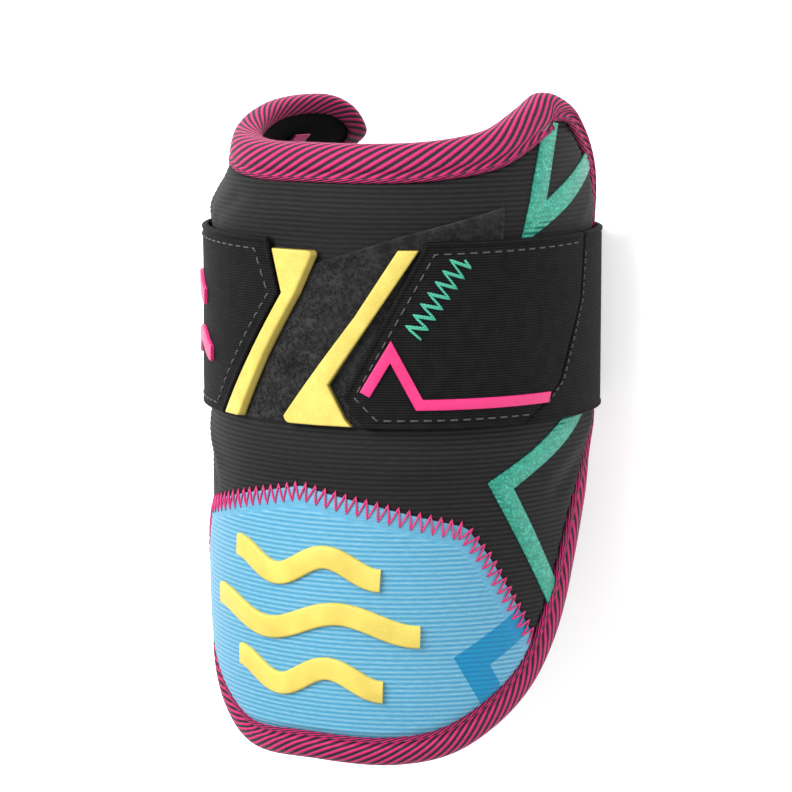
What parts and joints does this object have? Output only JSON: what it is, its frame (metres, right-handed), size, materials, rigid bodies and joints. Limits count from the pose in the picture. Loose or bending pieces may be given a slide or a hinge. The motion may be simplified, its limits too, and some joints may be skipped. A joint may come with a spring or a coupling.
{
  "type": "baseball elbow guard",
  "caption": "Padded wrap-around elbow guard with a shield panel over the elbow, taped edges, an open back and a closed strap round the arm.",
  "frame": {"origin": "centre of the footprint on the surface it rests on, below the flat back of the strap", "axes": "+Z out through the front of the guard, away from the arm; +Y along the arm towards the rim above the strap; +X to the viewer's right seen from the front with the rim up"},
  "size_m": [0.126, 0.2038, 0.0987],
  "materials": {
    "ribbed_cloth": "black cross-ribbed cloth over foam",
    "striped_tape": "pink and black diagonally striped binding tape",
    "blue_cloth": "light blue cross-ribbed cloth",
    "loop_pile": "black brushed loop pile",
    "elastic": "black ribbed elastic webbing",
    "canvas": "dark woven canvas",
    "yellow_rubber": "soft moulded pale yellow rubber with fine grain",
    "pink_rubber": "raised pink rubber print",
    "teal_print": "teal foil print on cloth",
    "pink_ribbon": "satin ribbon"
  },
  "bodies": {
    "root": {"sleeve": "ribbed_cloth", "edge_binding": "striped_tape", "elbow_panel": "blue_cloth", "panel_wave_top": "yellow_rubber", "panel_wave_middle": "yellow_rubber", "panel_wave_low": "yellow_rubber", "loop_patch": "loop_pile", "lower_chevron": "teal_print", "upper_chevron": "teal_print", "strap_band": "elastic", "strap_end_right": "canvas", "strap_end_left": "canvas", "strap_tip_right": "yellow_rubber", "strap_tip_left": "yellow_rubber", "bent_line": "pink_rubber", "strap_wave_upper": "pink_rubber", "strap_wave_lower": "pink_rubber", "lining_tab": "pink_ribbon"}
  },
  "joints": []
}
